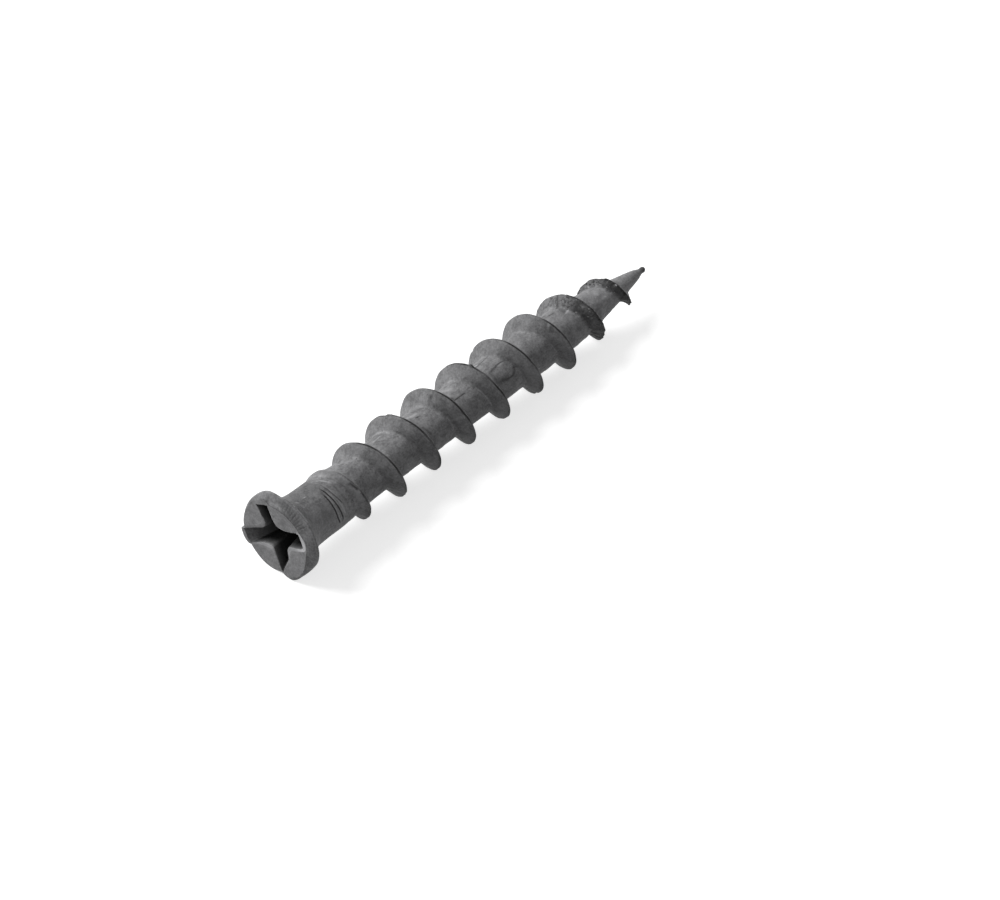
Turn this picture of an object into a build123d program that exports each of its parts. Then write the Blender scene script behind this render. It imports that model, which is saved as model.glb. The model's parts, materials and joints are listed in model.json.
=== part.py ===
from build123d import *
import math
import os

# A drywall screw: one piece of steel, headed and thread-rolled, lying as it comes to rest on a flat surface.
# Lengths are in millimetres and angles in degrees. Along the screw, s runs from the middle of the
# head's face (0) to the tip. Around it, angles start at its left side (+Y) and go over its top.

# Whole screw
length = 38.0
tip_radius = 0.16
turn_at_rest = 129.5

# Head: a face struck crooked, a plain rim that it leaves thinnest on one side, and a flared underside.
# The rim and flare stand a little off the axis. The flare bends at these shares of its width, from the
# neck out, and of its height, from the rim on.
rim_radius = 3.33
rim_thinnest = 0.23
face_chamfer = 0.05
under_rim_chamfer = 0.12
face_lean = 8.3
face_lean_toward = -57.0
head_shift = 0.09
head_shift_toward = 112.0
flare_end = 2.9
flare_sink = 0.16
flare_bends = [(0.6, 0.13), (0.32, 0.32), (0.11, 0.62)]

# Shank: the plain neck, the rolled core and the long point, which swells a little halfway
neck_radius = 2.03
neck_end = 4.3
core_radius = 1.70
core_begin = 8.0
point_length = 8.0
point_swell = 0.05

# Thread: coarse, single start, right hand. The first four places are measured from the head,
# the others back from the tip. Each step of a flank is at a share of the thread's height below the
# crest, and is filled out from the straight flank by another share, for the fillet at the root.
pitch = 3.562
crest_radius = 2.79
crest_land = 0.13
flank_head_side = 33.0
flank_tip_side = 29.5
flank_steps = [(1.0, 0.2), (0.54, 0.03), (0.27, 0.0), (0.0, 0.0)]
first_crest = 5.326
thread_start = 4.45
thread_risen = 5.7
risen_radius = 2.52
thread_full = 10.2
last_full_to_tip = 9.3
narrowed_to_tip = 5.8
narrowed_radius = 1.95
last_turn_to_tip = 3.8
last_turn_radius = 1.53
finish_to_tip = 2.9
start_sink = 0.12
root_sink = 0.25
sections_per_turn = 12

# Cross recess: four tapered wings about a centre struck off the axis. At the face, each wing has
# its direction, the wall between its end and the rim, and its width at the end. At the floor, a wall
# stays between the wings' ends and the side of the neck.
recess_depth = 2.7
recess_offset = 0.42
recess_offset_toward = -45.0
wing_directions = [54.0, 157.0, 254.5, 332.0]
wing_walls = [0.76, 1.05, 0.58, 0.7]
wing_widths = [1.03, 0.97, 0.6, 1.11]
lobe_radius = 1.0
lobe_rounding = 0.35
floor_wall = 0.83
floor_width = 0.5
floor_lobe_radius = 0.5
pit_radius = 0.4
pit_depth = 0.4
pit_taper = 36.0

# Where the last wing broke out through the rim, and the thin lip that was pushed outwards there.
# The break slopes from its depth inside the rim up to the lip's edge, level with the crooked face.
break_run = 0.7
break_depth = 0.85
lip_root_run = 0.5
lip_overhang = 0.42
lip_rise = 0.3
lip_thickness = 0.24

# Places that follow from the sizes above
core_end = length - point_length
thread_last_full = length - last_full_to_tip
thread_finish = length - finish_to_tip
rim_height = rim_radius * math.tan(math.radians(face_lean)) + rim_thinnest
wing_reaches = [rim_radius - wall for wall in wing_walls]
floor_reach = neck_radius - recess_offset - floor_wall
face_rise = rim_radius * math.tan(math.radians(face_lean)) + face_chamfer
flare_outer = rim_radius - under_rim_chamfer
flare_inner = neck_radius - flare_sink
flare_width = flare_outer - flare_inner
flare_height = flare_end - rim_height

# It lies on the lower edge of the rim and on the last full crest that reaches its underside.
underside = 270.0
below_axis = rim_radius - head_shift * math.sin(math.radians(head_shift_toward))
part_turn_down = (underside - turn_at_rest) / 360
last_crest_under = first_crest + pitch * (
    math.floor((thread_last_full - first_crest) / pitch - part_turn_down) + part_turn_down
)
rest_span = last_crest_under - (rim_height - under_rim_chamfer)
rest_tilt = math.degrees(math.asin((below_axis - crest_radius) / rest_span))
base = Plane(origin=(0, 0, 0), x_dir=(0, 1, 0), z_dir=Vector(1, 0, 0).rotate(Axis.Y, rest_tilt))


def off_axis(distance, angle):
    # A step square to the axis, at an angle about it
    a = math.radians(angle)
    return (base.x_dir * math.cos(a) + base.y_dir * math.sin(a)) * distance


def blend(s, stations):
    # The radius at s on the straight lines through the (s, radius) stations
    for (s0, r0), (s1, r1) in zip(stations, stations[1:]):
        if s <= s1:
            return r0 + (r1 - r0) * (s - s0) / (s1 - s0)
    return stations[-1][1]


shank_stations = [
    (rim_height, neck_radius),
    (neck_end, neck_radius),
    (core_begin, core_radius),
    (core_end, core_radius),
    ((core_end + length) / 2, (core_radius + tip_radius) / 2 + point_swell),
    (length, tip_radius),
]
crest_stations = [
    (thread_start, neck_radius - start_sink),
    (thread_risen, risen_radius),
    (thread_full, crest_radius),
    (thread_last_full, crest_radius),
    (length - narrowed_to_tip, narrowed_radius),
    (length - last_turn_to_tip, last_turn_radius),
    (thread_finish, blend(thread_finish, shank_stations) - start_sink),
]

# The thread, one turn after another, each lofted through radial sections with a fillet at the root
turns = []
section_count = math.ceil((thread_finish - thread_start) / pitch * sections_per_turn)
for first in range(0, section_count, sections_per_turn):
    with BuildPart() as turn:
        for step in range(first, min(first + sections_per_turn, section_count) + 1):
            s = thread_start + (thread_finish - thread_start) * step / section_count
            angle = turn_at_rest + 360 * (s - first_crest) / pitch
            crest = blend(s, crest_stations)
            root = blend(s, shank_stations) - root_sink
            height = crest - root
            half_land = crest_land / 2
            head_slope = math.tan(math.radians(flank_head_side))
            tip_slope = math.tan(math.radians(flank_tip_side))
            head_side = [(crest - height * d, -half_land - height * (d * head_slope + f)) for d, f in flank_steps]
            tip_side = [(crest - height * d, half_land + height * (d * tip_slope + f)) for d, f in flank_steps]
            outward = off_axis(1, angle)
            with BuildSketch(Plane(base.z_dir * s, x_dir=outward, z_dir=outward.cross(base.z_dir))):
                with BuildLine():
                    Polyline(*head_side, *reversed(tip_side), close=True)
                make_face()
        loft()
    turns.append(turn.part)

with BuildPart() as head:
    # Rim and flare, turned about a slightly shifted axis, tall enough for the crooked face.
    # The flare ends a little inside the neck, so that the two meet at an angle all round.
    head_centre = off_axis(head_shift, head_shift_toward)
    with BuildSketch(Plane(head_centre, x_dir=base.x_dir, z_dir=-base.y_dir)):
        with BuildLine():
            Polyline(
                (0, flare_end),
                (0, -face_rise),
                (rim_radius, -face_rise),
                (rim_radius, rim_height - under_rim_chamfer),
                (flare_outer, rim_height),
                *[(flare_inner + flare_width * w, rim_height + flare_height * h) for w, h in flare_bends],
                (flare_inner, flare_end),
                close=True,
            )
        make_face()
    revolve(axis=Axis(head_centre, base.z_dir))
    face_normal = -base.z_dir - off_axis(math.tan(math.radians(face_lean)), face_lean_toward)
    face_plane = Plane(base.origin, x_dir=base.x_dir, z_dir=face_normal)
    split(bisect_by=face_plane, keep=Keep.BOTTOM)
    chamfer(head.faces().sort_by(Axis(base.origin, base.z_dir))[0].edges(), face_chamfer)

with BuildPart() as screw:
    add(head.part)

    # Neck, core and point, turned about the axis
    with BuildSketch(Plane(base.origin, x_dir=base.x_dir, z_dir=-base.y_dir)):
        with BuildLine():
            Polyline((0, length), (0, rim_height), *[(r, s) for s, r in shank_stations], (0, length))
        make_face()
    revolve(axis=Axis(base.origin, base.z_dir))
    add(turns)

    # Cross recess, cut between an outline above the face and a smaller one at its floor
    recess_centre = off_axis(recess_offset, recess_offset_toward)
    for s in (-face_rise, recess_depth):
        depth = s / recess_depth
        with BuildSketch(Plane(recess_centre, x_dir=base.x_dir, z_dir=base.z_dir).offset(s)) as outline:
            with BuildLine():
                corners = []
                for i, direction in enumerate(wing_directions):
                    reach = wing_reaches[i] + (floor_reach - wing_reaches[i]) * depth
                    half_width = (wing_widths[i] + (floor_width - wing_widths[i]) * depth) / 2
                    spread = math.degrees(math.atan2(half_width, reach))
                    far = math.hypot(half_width, reach)
                    corners += [(far, direction - spread), (far, direction + spread)]
                    to_next = (wing_directions[(i + 1) % 4] - direction) % 360
                    lobe = lobe_radius + (floor_lobe_radius - lobe_radius) * depth
                    corners.append((lobe, direction + to_next / 2))
                points = [(r * math.cos(math.radians(a)), r * math.sin(math.radians(a))) for r, a in corners]
                Polyline(*points, close=True)
            make_face()
            fillet(outline.vertices().group_by(lambda v: v.center().length)[0], lobe_rounding)
    loft(ruled=True, mode=Mode.SUBTRACT)
    with BuildSketch(Plane(recess_centre, x_dir=base.x_dir, z_dir=base.z_dir).offset(recess_depth)):
        Circle(pit_radius)
    extrude(amount=pit_depth, taper=pit_taper, mode=Mode.SUBTRACT)

    # The broken-out wing: a shallow sloping notch through the rim, with the lip under its outer end
    rim_reach = rim_radius - recess_offset + head_shift / 2
    break_direction = off_axis(1, wing_directions[-1])
    break_plane = Plane(recess_centre, x_dir=break_direction, z_dir=break_direction.cross(base.z_dir))
    break_slope = (break_depth + lip_rise) / (break_run + lip_overhang)
    root_depth = break_depth - (break_run - lip_root_run) * break_slope
    with BuildSketch(break_plane):
        with BuildLine():
            Polyline(
                (rim_reach - lip_root_run, root_depth),
                (rim_reach + lip_overhang, -lip_rise),
                (rim_reach + lip_overhang, lip_thickness - lip_rise),
                (rim_reach - lip_root_run, root_depth + lip_thickness),
                close=True,
            )
        make_face()
    extrude(amount=wing_widths[-1] / 2, both=True)
    with BuildSketch(break_plane):
        with BuildLine():
            Polyline(
                (rim_reach - break_run, break_depth),
                (rim_reach + lip_overhang, -lip_rise),
                (rim_reach + lip_overhang, -face_rise),
                (rim_reach - break_run, -face_rise),
                close=True,
            )
        make_face()
    extrude(amount=wing_widths[-1] / 2, both=True, mode=Mode.SUBTRACT)

with BuildPart() as drywall_screw:
    # Set down with its lowest points at the floor and the middle of its outline over the origin
    box = screw.part.bounding_box()
    with Locations((-box.center().X, -box.center().Y, -box.min.Z)):
        add(screw.part)

os.makedirs("parts", exist_ok=True)
drywall_screw.part.label = "drywall_screw"
export_step(drywall_screw.part, "parts/drywall_screw.step")
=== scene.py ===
import json
import math

import bpy
import numpy as np
from mathutils import Matrix, Vector


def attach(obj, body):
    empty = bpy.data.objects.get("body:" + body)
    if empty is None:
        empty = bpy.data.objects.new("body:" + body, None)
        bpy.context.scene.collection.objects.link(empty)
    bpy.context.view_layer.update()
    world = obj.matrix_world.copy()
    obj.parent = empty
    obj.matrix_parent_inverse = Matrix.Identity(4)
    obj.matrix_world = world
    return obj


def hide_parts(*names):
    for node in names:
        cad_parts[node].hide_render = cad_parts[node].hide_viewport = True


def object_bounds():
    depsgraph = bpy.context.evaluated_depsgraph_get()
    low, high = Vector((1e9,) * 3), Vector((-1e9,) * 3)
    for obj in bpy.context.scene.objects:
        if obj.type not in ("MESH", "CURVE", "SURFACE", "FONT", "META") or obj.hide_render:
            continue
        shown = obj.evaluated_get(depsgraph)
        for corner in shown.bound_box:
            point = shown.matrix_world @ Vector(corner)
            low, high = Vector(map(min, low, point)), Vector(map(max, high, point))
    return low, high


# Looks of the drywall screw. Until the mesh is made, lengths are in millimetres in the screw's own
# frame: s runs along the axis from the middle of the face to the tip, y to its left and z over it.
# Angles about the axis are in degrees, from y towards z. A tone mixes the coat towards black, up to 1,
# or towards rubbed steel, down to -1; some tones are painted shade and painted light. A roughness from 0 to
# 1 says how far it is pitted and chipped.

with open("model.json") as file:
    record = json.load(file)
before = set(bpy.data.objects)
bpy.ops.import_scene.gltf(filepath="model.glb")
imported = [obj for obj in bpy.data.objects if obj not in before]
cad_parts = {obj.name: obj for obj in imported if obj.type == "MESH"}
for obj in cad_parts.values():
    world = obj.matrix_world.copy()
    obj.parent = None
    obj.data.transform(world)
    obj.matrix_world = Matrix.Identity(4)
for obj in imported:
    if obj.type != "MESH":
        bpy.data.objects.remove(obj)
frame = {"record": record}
cad_bounds = [list(corner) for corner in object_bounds()]

MM = 0.001

# The axis comes from the frame: one of the part's mounts lies on it, this far from the head's face
UNDER_HEAD = 1.2
mounts = {mount["name"]: mount for mount in frame["record"]["mounts"]}
under_head = mounts["under_head"]
ALONG = np.array(under_head["axis"])
ALONG = ALONG / np.linalg.norm(ALONG)
LEFT = np.array([0.0, 1.0, 0.0])
OVER = np.cross(ALONG, LEFT)
AXIS_START = np.array(under_head["pos_m"]) / MM - UNDER_HEAD * ALONG


def polar(reach, degrees):
    return reach * np.array([math.cos(math.radians(degrees)), math.sin(math.radians(degrees))])


# Main sizes
LENGTH = 38.0
NOSE = 37.96
RIM_RADIUS = 3.33
NECK_RADIUS = 2.03
CORE_RADIUS = 1.71
CREST_RADIUS = 2.78
HEAD_CENTRE = polar(0.09, 112.0)
RECESS_CENTRE = polar(0.42, -45.0)
RECESS_DEPTH = 2.7
LEAN = math.tan(math.radians(8.3))
LEAN_TOWARD = math.radians(-57.0)

# Thread: a flat land along its crest, widened towards the tip by the seam in it, between straight flanks
PITCH = 3.562
TURN = 129.5
FIRST_CREST = 5.326
THREAD_START = 4.05
THREAD_FINISH = 35.3
HALF_LAND = 0.065
SEAM_WIDTH = 0.045
HEAD_FLANK = math.tan(math.radians(33.0))
TIP_FLANK = math.tan(math.radians(29.5))
ROOT_BLEND = 0.10

# The flare under the head narrows towards the neck by this law, and is a little fuller on one side
FLARE_WIDTH = 1.2
FLARE_TOP = 0.7
FLARE_FALL = 0.44
FULL_HEIGHT = 0.10
FULL_PLACE = 1.3
FULL_REACH = 0.32

# How uneven the thread is: its crest wanders along the axis, is ragged and is chipped here and there.
# On the worn last turns a reach grows by the WORN one that follows it
WANDER = 0.020
FINE_WANDER = 0.012
WORN_WANDER = 0.02
RAGGED = 0.022
WORN_RAGGED = 0.02
FINE_RAGGED = 0.012
WORN_FINE_RAGGED = 0.025
CHIP_DEPTH = 0.09
# Relief on the thread, and of the core between its turns
SEAM_DEPTH = 0.05
LAND_DEPTH = 0.012
TURNING_DEPTH = 0.006
WRINKLE_HEIGHT = 0.03
RIDGE_HEIGHT = 0.012
TORN_DEPTH = 0.08
TORN_CORE_DEPTH = 0.05
MOTTLE_HEIGHTS = (0.012, 0.011, 0.008)
FOLD_DEPTH = 0.04
SCALE_HEIGHT = 0.035
SCRATCH_DEPTH = 0.03
RUBBED_HEIGHT = 0.02

# Tones of the relief, negative where steel shows through and for the painted highlight on the root ridge,
# the root and crest-land tones painted shade, and how rough the scales are
CREST_TONE = -0.3
ROOT_RIDGE_HIGHLIGHT_TONE = -0.35
SCALE_TONE = -0.22
WRINKLE_TONE = -0.45
ROOT_TONE = 0.16
FOLD_TONE = 0.7
POINT_TONE = -0.08
UNDER_CREST_TONE = 0.9
WORN_CREST_TONE = 0.5
WORN_POINT_TONE = 0.15
TIP_TONE = 0.6
SCALE_ROUGHNESS = 0.6

# Columns of the mesh round the axis, and where its rings round the neck give way to rows along the thread
COLUMNS = 240
NECK_JOIN = 4.62

TABLE_SIZE = 256
TABLE = np.random.default_rng(11).random((TABLE_SIZE, TABLE_SIZE))


def stations(x, points):
    # A smooth curve without overshoot through (x, value) points
    xs = np.array([p[0] for p in points], float)
    ys = np.array([p[1] for p in points], float)
    step = np.diff(xs)
    slope = np.diff(ys) / step
    tangent = np.zeros(len(xs))
    same = slope[:-1] * slope[1:] > 0
    mean = 2 * slope[:-1] * slope[1:] / np.where(same, slope[:-1] + slope[1:], 1.0)
    tangent[1:-1] = np.where(same, mean, 0.0)
    tangent[0], tangent[-1] = slope[0], slope[-1]
    x = np.clip(np.asarray(x, float), xs[0], xs[-1])
    i = np.clip(np.searchsorted(xs, x) - 1, 0, len(step) - 1)
    h = step[i]
    u = (x - xs[i]) / h
    return (
        (1 + 2 * u) * (1 - u) ** 2 * ys[i]
        + u * (1 - u) ** 2 * h * tangent[i]
        + u * u * (3 - 2 * u) * ys[i + 1]
        + u * u * (u - 1) * h * tangent[i + 1]
    )


def around(angle, points):
    # The same, for (degrees, value) points that repeat after a full circle
    first = points[0][0]
    angle = (np.asarray(angle, float) - first) % 360 + first
    before = (points[-1][0] - 360, points[-1][1])
    after = [(x + 360, value) for x, value in points[:2]]
    return stations(angle, [before, *points, *after])


def grain(u, v, repeat=None):
    # Random patches from -1 to 1, about one unit across; u may repeat after a whole number of units
    u, v = np.broadcast_arrays(np.asarray(u, float), np.asarray(v, float))
    iu, iv = np.floor(u).astype(int), np.floor(v).astype(int)
    fu, fv = u - iu, v - iv
    fu, fv = fu * fu * (3 - 2 * fu), fv * fv * (3 - 2 * fv)

    def at(i, j):
        i = i % repeat if repeat else i
        return TABLE[i % TABLE_SIZE, j % TABLE_SIZE]

    low = at(iu, iv) * (1 - fu) + at(iu + 1, iv) * fu
    high = at(iu, iv + 1) * (1 - fu) + at(iu + 1, iv + 1) * fu
    return 2 * (low * (1 - fv) + high * fv) - 1


def jagged(u, series):
    # Random values from -1 to 1 joined by straight lines, another series of them for each number
    i = np.floor(u).astype(int)
    f = u - i
    return 2 * (TABLE[i % TABLE_SIZE, series] * (1 - f) + TABLE[(i + 1) % TABLE_SIZE, series] * f) - 1


def bump(x, centre, width):
    return np.exp(-(((x - centre) / width) ** 2))


def rising(x, start, width):
    # From 0 at the start to 1 after the width
    return np.clip((x - start) / width, 0, 1)


def falling(x, end, width):
    # From 1 to 0 at the end
    return np.clip((end - x) / width, 0, 1)


def turned_from(degrees, angle):
    # The angle between two directions, from -180 to 180
    return (degrees - angle + 180) % 360 - 180


def darkened(tone, amount):
    amount = np.clip(amount, 0, 1)
    return tone * (1 - amount) + amount


# Radius of the shank under the thread, apart from the flare, as (s, radius)
BODY = [
    (0.0, NECK_RADIUS - 0.02), (4.2, NECK_RADIUS), (5.5, 1.95), (8.0, 1.76), (14.0, CORE_RADIUS),
    (25.0, CORE_RADIUS), (29.0, 1.64), (31.0, 1.46), (33.0, 1.14), (35.0, 0.8), (37.0, 0.4), (37.6, 0.22),
    (37.8, 0.23), (NOSE, 0.15), (LENGTH, 0.02),
]
# Radius of the crest, and how far it strays towards the tip from an even helix, by its place along the axis
CREST = [
    (4.1, 1.9), (4.7, 2.33), (5.1, 2.53), (8.2, 2.6), (8.9, 2.82), (9.6, 2.85), (10.4, CREST_RADIUS),
    (28.0, CREST_RADIUS), (28.9, 2.65), (29.6, 2.44), (30.3, 2.52), (31.2, 2.35), (32.4, 1.88),
    (33.2, 1.64), (34.5, 1.54), (34.75, 1.45), (34.9, 0.95), (35.6, 0.6),
]
SHIFT = [
    (4.0, 0.1), (5.0, 0.35), (5.7, 0.38), (6.4, 0.12), (7.2, 0), (32.4, 0), (33.2, 0.3), (34.0, 0.22),
    (34.7, 0.34),
]
# How worn the last turns are, by place along the axis
WORN_FROM = [(28.3, 0.0), (29.3, 0.5), (30.0, 0.85), (31.0, 1.0)]
WORN_TO = [(35.2, 1.0), (35.9, 0.0)]

# The next tables go round the axis, as (degrees, share). Where the flare is fuller
FULLER = [(-90, 0.0), (60, 0.0), (90, 1.0), (180, 1.0), (205, 0.0)]
# Painted shade in the roots, painted shade on the flanks away from the key light and painted light
# (negative) on those facing it, painted shade on the crest land, and how dark the worn last turns are
ROOT_SHADE = [(-90, 0.0), (75, 0.0), (100, 1.0), (190, 1.0), (220, 0.0)]
FLANK_PAINTED_LIGHT_AND_SHADE = [(-90, 0.0), (40, -0.05), (75, -0.08), (95, 0.0), (115, 0.12), (150, 0.06), (200, 0.05)]
UNDER_CREST = [(-90, 0.0), (150, 0.0), (178, 0.35), (192, 1.0), (222, 1.0), (240, 0.2)]
WORN_DARK = [(-90, 0.0), (40, 0.0), (70, 0.12), (95, 0.36), (130, 0.5), (220, 0.52), (250, 0.2)]
# Painted shade on the neck's side towards the key light, from 20 to 108 degrees, and painted light
# (negative) on the side away from it, from 125 to 200 degrees, and how far the seam along the crest stands
# open
NECK_PAINTED_SHADE_AND_LIGHT = [
    (-90, 0.0), (20, 0.2), (60, 0.42), (90, 0.34), (108, 0.1), (125, -0.06), (160, -0.14), (200, -0.05),
]
SEAM_OPEN = [
    (-90, 0.3), (40, 0.3), (62, 0.6), (85, 0.55), (100, 0.95), (148, 0.95), (165, 0.4), (182, 0.8),
    (215, 1.0), (235, 0.4),
]

# Laps rolled into the neck beside the thread's start: depth, and path as (degrees, s)
LAPS = [
    (0.075, [(104, 3.6), (132, 3.65), (165, 3.68), (184, 3.8)]),
    (0.06, [(92, 3.75), (128, 3.93), (158, 4.05), (172, 4.1), (182, 4.0)]),
    (0.03, [(80, 4.0), (110, 4.13), (130, 4.28), (148, 4.5)]),
]
LAP_REACH = 0.042
LAP_LIFT_PLACE = 0.085
LAP_LIFT_REACH = 0.045
# Nicks, whose metal stands up: s, degrees, height, width along and width round in degrees
NICKS = [
    (1.6, 95, 0.06, 0.10, 2.4),
    (2.4, 91, 0.06, 0.14, 1.6),
    (1.7, 108, 0.03, 0.06, 1.6),
    (3.05, 118, 0.02, 0.06, 1.2),
]
# How much paler a nick is, for each millimetre of its height
NICK_BRIGHTNESS = 16
# Burrs turned up at the crest: place along the axis, degrees, height and width in degrees
BURRS = [(19.6, 87, 0.17, 3.5), (12.55, 70, 0.06, 3.0), (30.9, 78, 0.06, 4.0), (34.7, 218, 0.14, 3.0)]
# Scratches, folds and rubbed spots: tone, width and path as (s, degrees). On the neck and the first turn
NECK_MARKS = [
    (-0.45, 0.05, [(3.95, 66), (4.35, 80), (4.7, 98)]),
    (-0.45, 0.05, [(3.85, 68), (4.0, 82), (4.05, 96)]),
    (-0.40, 0.06, [(4.25, 132), (4.3, 150), (4.35, 166)]),
    (0.40, 0.07, [(4.65, 106), (4.7, 128), (4.8, 149)]),
    (0.90, 0.06, [(5.5, 123), (5.7, 136)]),
    (0.90, 0.06, [(5.85, 146), (6.05, 164)]),
]
# On the full turns
CORE_MARKS = [
    (-0.40, 0.06, [(9.8, 68), (10.5, 64)]),
    (0.35, 0.18, [(11.0, 154), (11.6, 158)]),
    (-0.30, 0.18, [(13.1, 70), (13.8, 75)]),
    (0.55, 0.06, [(13.25, 117), (13.5, 141)]),
    (0.95, 0.08, [(13.55, 87), (13.6, 88)]),
    (0.80, 0.07, [(15.2, 82), (15.25, 84)]),
    (-0.30, 0.22, [(16.8, 62), (17.2, 78)]),
    (0.25, 0.15, [(17.2, 88), (17.5, 100)]),
    (0.90, 0.06, [(16.65, 100), (16.7, 110), (17.7, 110)]),
    (-0.90, 0.07, [(20.05, 57), (20.6, 64)]),
    (0.95, 0.05, [(20.0, 67), (20.55, 67)]),
    (-0.70, 0.05, [(20.05, 115), (20.1, 127)]),
    (0.30, 0.22, [(24.4, 131), (24.9, 162)]),
    (-0.70, 0.06, [(24.4, 175), (24.4, 177)]),
    (-0.60, 0.07, [(26.35, 107), (26.35, 109)]),
    (0.50, 0.10, [(26.35, 113), (26.35, 119)]),
]
# On the worn turns
POINT_MARKS = [
    (0.90, 0.06, [(27.55, 59), (27.9, 70), (28.2, 73)]),
    (0.70, 0.07, [(28.9, 64), (29.8, 59)]),
    (0.45, 0.16, [(29.1, 66), (28.9, 92)]),
    (-0.60, 0.08, [(28.9, 97), (29.25, 95)]),
    (0.45, 0.16, [(29.75, 103), (29.8, 128), (30.05, 148)]),
    (-0.70, 0.07, [(29.85, 110), (29.95, 116)]),
    (-0.70, 0.07, [(30.1, 138), (30.15, 143)]),
]
# The radius at which widths across the marks are measured
MARKED_RADIUS = 1.9


def near_path(s, degrees, path, width):
    # 1 on a path over the shank, falling to 0 within about its width
    nearest = np.full(np.broadcast(s, degrees).shape, np.inf)
    for (s0, d0), (s1, d1) in zip(path, path[1:]):
        ahead = s - s0
        across = np.radians(turned_from(degrees, d0)) * MARKED_RADIUS
        run = s1 - s0
        rise = math.radians(d1 - d0) * MARKED_RADIUS
        share = np.clip((ahead * run + across * rise) / (run * run + rise * rise), 0, 1)
        nearest = np.minimum(nearest, np.hypot(ahead - share * run, across - share * rise))
    return np.exp(-((nearest / width) ** 2))


def nearest_crest(degrees, s):
    # The place along the axis of the crest nearest to s
    phase = degrees / 360.0 - TURN / 360.0
    k = np.round((s - FIRST_CREST) / PITCH - phase)
    return FIRST_CREST + PITCH * (k + phase)


def rolled_thread(degrees, s, along, worn):
    # The thread's radius, how far s is off its crest, and the seam and wrinkles there
    wound = along / PITCH
    wander = WANDER * grain(wound * 9, 3.3) + (FINE_WANDER + WORN_WANDER * worn) * grain(wound * 31, 7.7)
    off = s - along - stations(along, SHIFT) - wander
    ragged = (RAGGED + WORN_RAGGED * worn) * jagged(wound * 13, 21)
    ragged = ragged + (FINE_RAGGED + WORN_FINE_RAGGED * worn) * jagged(wound * 41, 22)
    chipped = CHIP_DEPTH * np.clip(jagged(wound * 17, 23) - 0.6, 0, 1) / 0.4
    beyond = np.maximum(np.where(off < 0, -off - HALF_LAND, off - HALF_LAND - SEAM_WIDTH), 0.0)
    flank = beyond / np.where(off < 0, HEAD_FLANK, TIP_FLANK)
    thread = stations(along, CREST) + (ragged - chipped) - flank

    # The rough seam where the two rolled-up sides of the crest meet
    gaping = np.clip(around(degrees, SEAM_OPEN) + 0.55 * jagged(wound * 11, 24), 0.0, 1.0)
    gaping = gaping * np.clip((along - 5.0) / 1.5, 0.5, 1)
    seam = gaping * np.clip(2.2 * bump(off, 0.025 + 0.015 * jagged(wound * 23, 25), 0.055), 0, 1)
    on_land = np.abs(off) < HALF_LAND
    thread = thread - SEAM_DEPTH * seam - LAND_DEPTH * on_land * (0.5 + 0.5 * grain(wound * 90, off * 20))
    # Turning marks round the flanks, and their grain
    thread = thread + TURNING_DEPTH * grain(np.abs(off) * 22 + 40 * (off < 0), wound * 0.6)
    thread = thread + TURNING_DEPTH * grain(wound * 38, off * 5)
    # Wrinkles along the start of the thread, where it was rolled up last
    starting = falling(along, 7.2, 1.6) * np.clip(1.5 - np.abs(off), 0, 1)
    wrinkle = grain(off * 6 + 3, wound * 6) * starting
    return thread + WRINKLE_HEIGHT * wrinkle, off, seam, wrinkle


def mottled_core(degrees, s):
    # The radius under the thread, and where it is folded and scaled
    turns = degrees / 360.0
    flare = FLARE_WIDTH * np.exp((FLARE_TOP - s) / FLARE_FALL)
    fuller = FULL_HEIGHT * bump(s, FULL_PLACE, FULL_REACH) * around(degrees, FULLER)
    relief = np.clip((s - 4.2) / 1.2, 0.3, 1.0) * np.clip((37.2 - s) / 2.0, 0.2, 1.0)
    broad, middle, fine = MOTTLE_HEIGHTS
    mottle = broad * grain(turns * 12, s * 1.7, 12) + middle * grain(turns * 31, s * 4.1, 31)
    mottle = mottle + fine * grain(turns * 67, s * 9.3, 67)
    folds = np.clip(0.14 - np.abs(grain(turns * 9, s * 1.15 + 40, 9)), 0, 1) / 0.14
    folds = folds * np.clip(2.2 * grain(turns * 5, s * 0.5 + 77, 5) - 0.35, 0, 1)
    scales = np.clip(3 * grain(turns * 14, s * 2.2 + 13, 14) - 1.1, 0, 1)
    scales = scales * np.clip(2 * grain(turns * 4, s * 0.4 + 5, 4), 0, 1)
    uneven = mottle - FOLD_DEPTH * folds + SCALE_HEIGHT * scales
    core = stations(s, BODY) + flare + fuller + relief * uneven
    for place, angle, height, reach, width in NICKS:
        core = core + height * bump(s, place, reach) * bump(turned_from(degrees, angle), 0, width)
    return core, folds * relief, scales


def marked(degrees, s, radius, tone):
    # The radius and the tone with the nicks, the marks and the laps laid over them
    for place, angle, height, reach, width in NICKS:
        nick = bump(s, place, reach) * bump(turned_from(degrees, angle), 0, width)
        tone = tone - NICK_BRIGHTNESS * height * nick
    for strength, width, path in NECK_MARKS + CORE_MARKS + POINT_MARKS:
        mark = near_path(s, degrees, path, width)
        tone = darkened(tone, strength * mark) if strength > 0 else tone + strength * mark
        radius = radius - SCRATCH_DEPTH * max(strength - 0.5, 0) * mark
        radius = radius + RUBBED_HEIGHT * max(-strength, 0) * mark
    for depth, path in LAPS:
        first, last = path[0][0], path[-1][0]
        place = stations(degrees, path) + 0.008 * grain(degrees / 360.0 * 70, 0.3)
        ends = rising(degrees, first, 12) * falling(degrees, last, 9)
        cut = bump(s, place, LAP_REACH) * ends
        lifted = bump(s, place + LAP_LIFT_PLACE, LAP_LIFT_REACH) * ends
        radius = radius - depth * cut + 0.5 * depth * lifted
        tone = darkened(tone, 1.5 * cut * min(1.0, depth * 16)) - 5 * depth * lifted
    return radius, tone


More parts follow.
